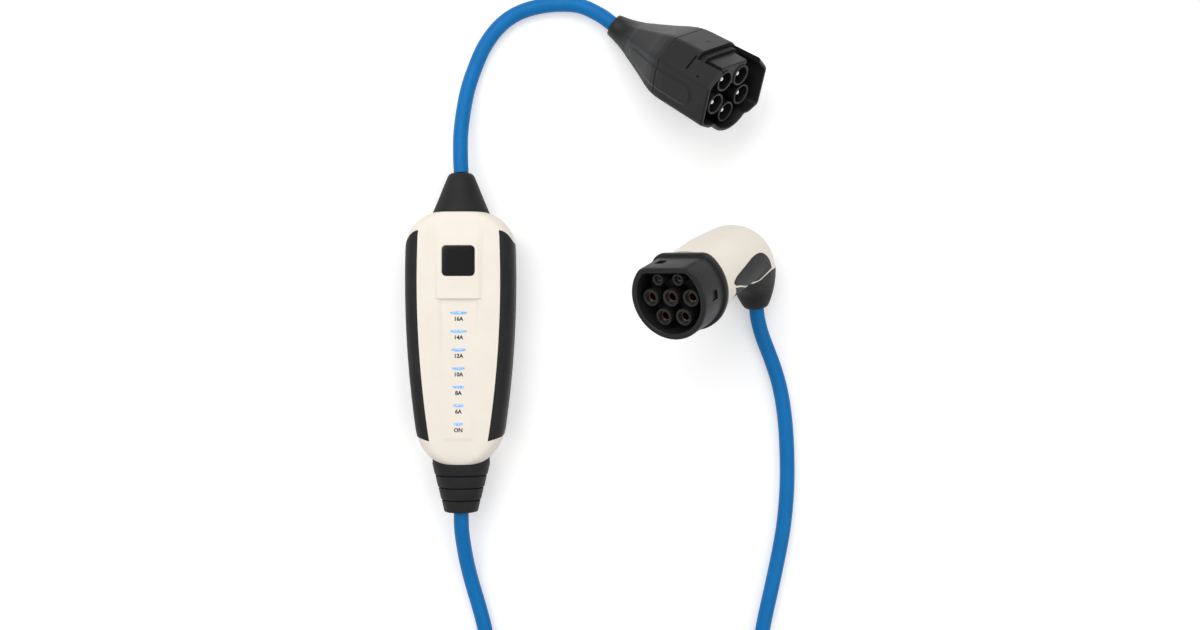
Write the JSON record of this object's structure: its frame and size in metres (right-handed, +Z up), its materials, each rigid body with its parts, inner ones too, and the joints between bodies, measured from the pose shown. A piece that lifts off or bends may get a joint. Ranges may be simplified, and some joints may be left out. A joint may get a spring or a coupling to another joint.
{
  "type": "portable ev charger",
  "caption": "In-cable control box with a short supply lead ending in a shrouded pin plug, and a long blue lead ending in a D-faced vehicle connector.",
  "frame": {"origin": "on the plane that the charger lies on, under the middle of the control box with its two glands", "axes": "+Y from the vehicle end of the control box to its supply end, +Z up out of its front, +X to the right seen from the front"},
  "size_m": [0.3166, 0.7327, 0.1459],
  "materials": {
    "cream_shell": "cream moulded plastic, satin",
    "black_soft_grip": "soft black overmould",
    "black_plastic": "black moulded plastic, fine texture",
    "badge_gloss": "black gloss",
    "lamp_lens": "clear light guide, pale blue",
    "blue_cord": "blue jacket, satin",
    "bright_pin": "bright plated",
    "copper_contact": "copper alloy, plated",
    "zinc_screw": "zinc plated",
    "green_board": "green solder mask",
    "relay_case": "black case",
    "grey_ferrite": "grey potted core",
    "grey_terminal": "grey terminal block",
    "seal_rubber": "black sealing strip"
  },
  "bodies": {
    "root": {"badge_tile": "badge_gloss", "circuit_board": "green_board", "collar": "black_plastic", "connector_boot": "black_soft_grip", "contact_carrier": "black_plastic", "cover_screw_1": "zinc_screw", "cover_screw_2": "zinc_screw", "cover_screw_3": "zinc_screw", "cover_screw_4": "zinc_screw", "cover_screw_5": "zinc_screw", "cover_screw_6": "zinc_screw", "current_sensor": "grey_ferrite", "earth_contact": "copper_contact", "front_cover": "cream_shell", "handle": "cream_shell", "left_grip": "black_soft_grip", "left_inlay": "black_soft_grip", "left_seal": "seal_rubber", "light_guide": "lamp_lens", "plug_boot": "black_plastic", "plug_core": "black_plastic", "plug_pin_1": "bright_pin", "plug_pin_2": "bright_pin", "plug_pin_3": "bright_pin", "plug_pin_4": "bright_pin", "plug_pin_5": "bright_pin", "plug_shell": "black_plastic", "power_contact_1": "copper_contact", "power_contact_2": "copper_contact", "power_contact_3": "copper_contact", "power_contact_4": "copper_contact", "power_supply": "grey_ferrite", "rear_cover": "cream_shell", "relay_1": "relay_case", "relay_2": "relay_case", "right_grip": "black_soft_grip", "right_inlay": "black_soft_grip", "right_seal": "seal_rubber", "signal_contact_1": "copper_contact", "signal_contact_2": "copper_contact", "sleeve_1": "black_plastic", "sleeve_2": "black_plastic", "sleeve_3": "black_plastic", "sleeve_4": "black_plastic", "sleeve_5": "black_plastic", "sleeve_6": "black_plastic", "sleeve_7": "black_plastic", "supply_clamp": "black_plastic", "supply_gland": "black_soft_grip", "supply_lead": "blue_cord", "supply_terminal": "grey_terminal", "vehicle_clamp": "black_plastic", "vehicle_coil": "blue_cord", "vehicle_gland": "black_soft_grip", "vehicle_lead_far": "blue_cord", "vehicle_lead_near": "blue_cord", "vehicle_terminal": "grey_terminal"}
  },
  "joints": []
}
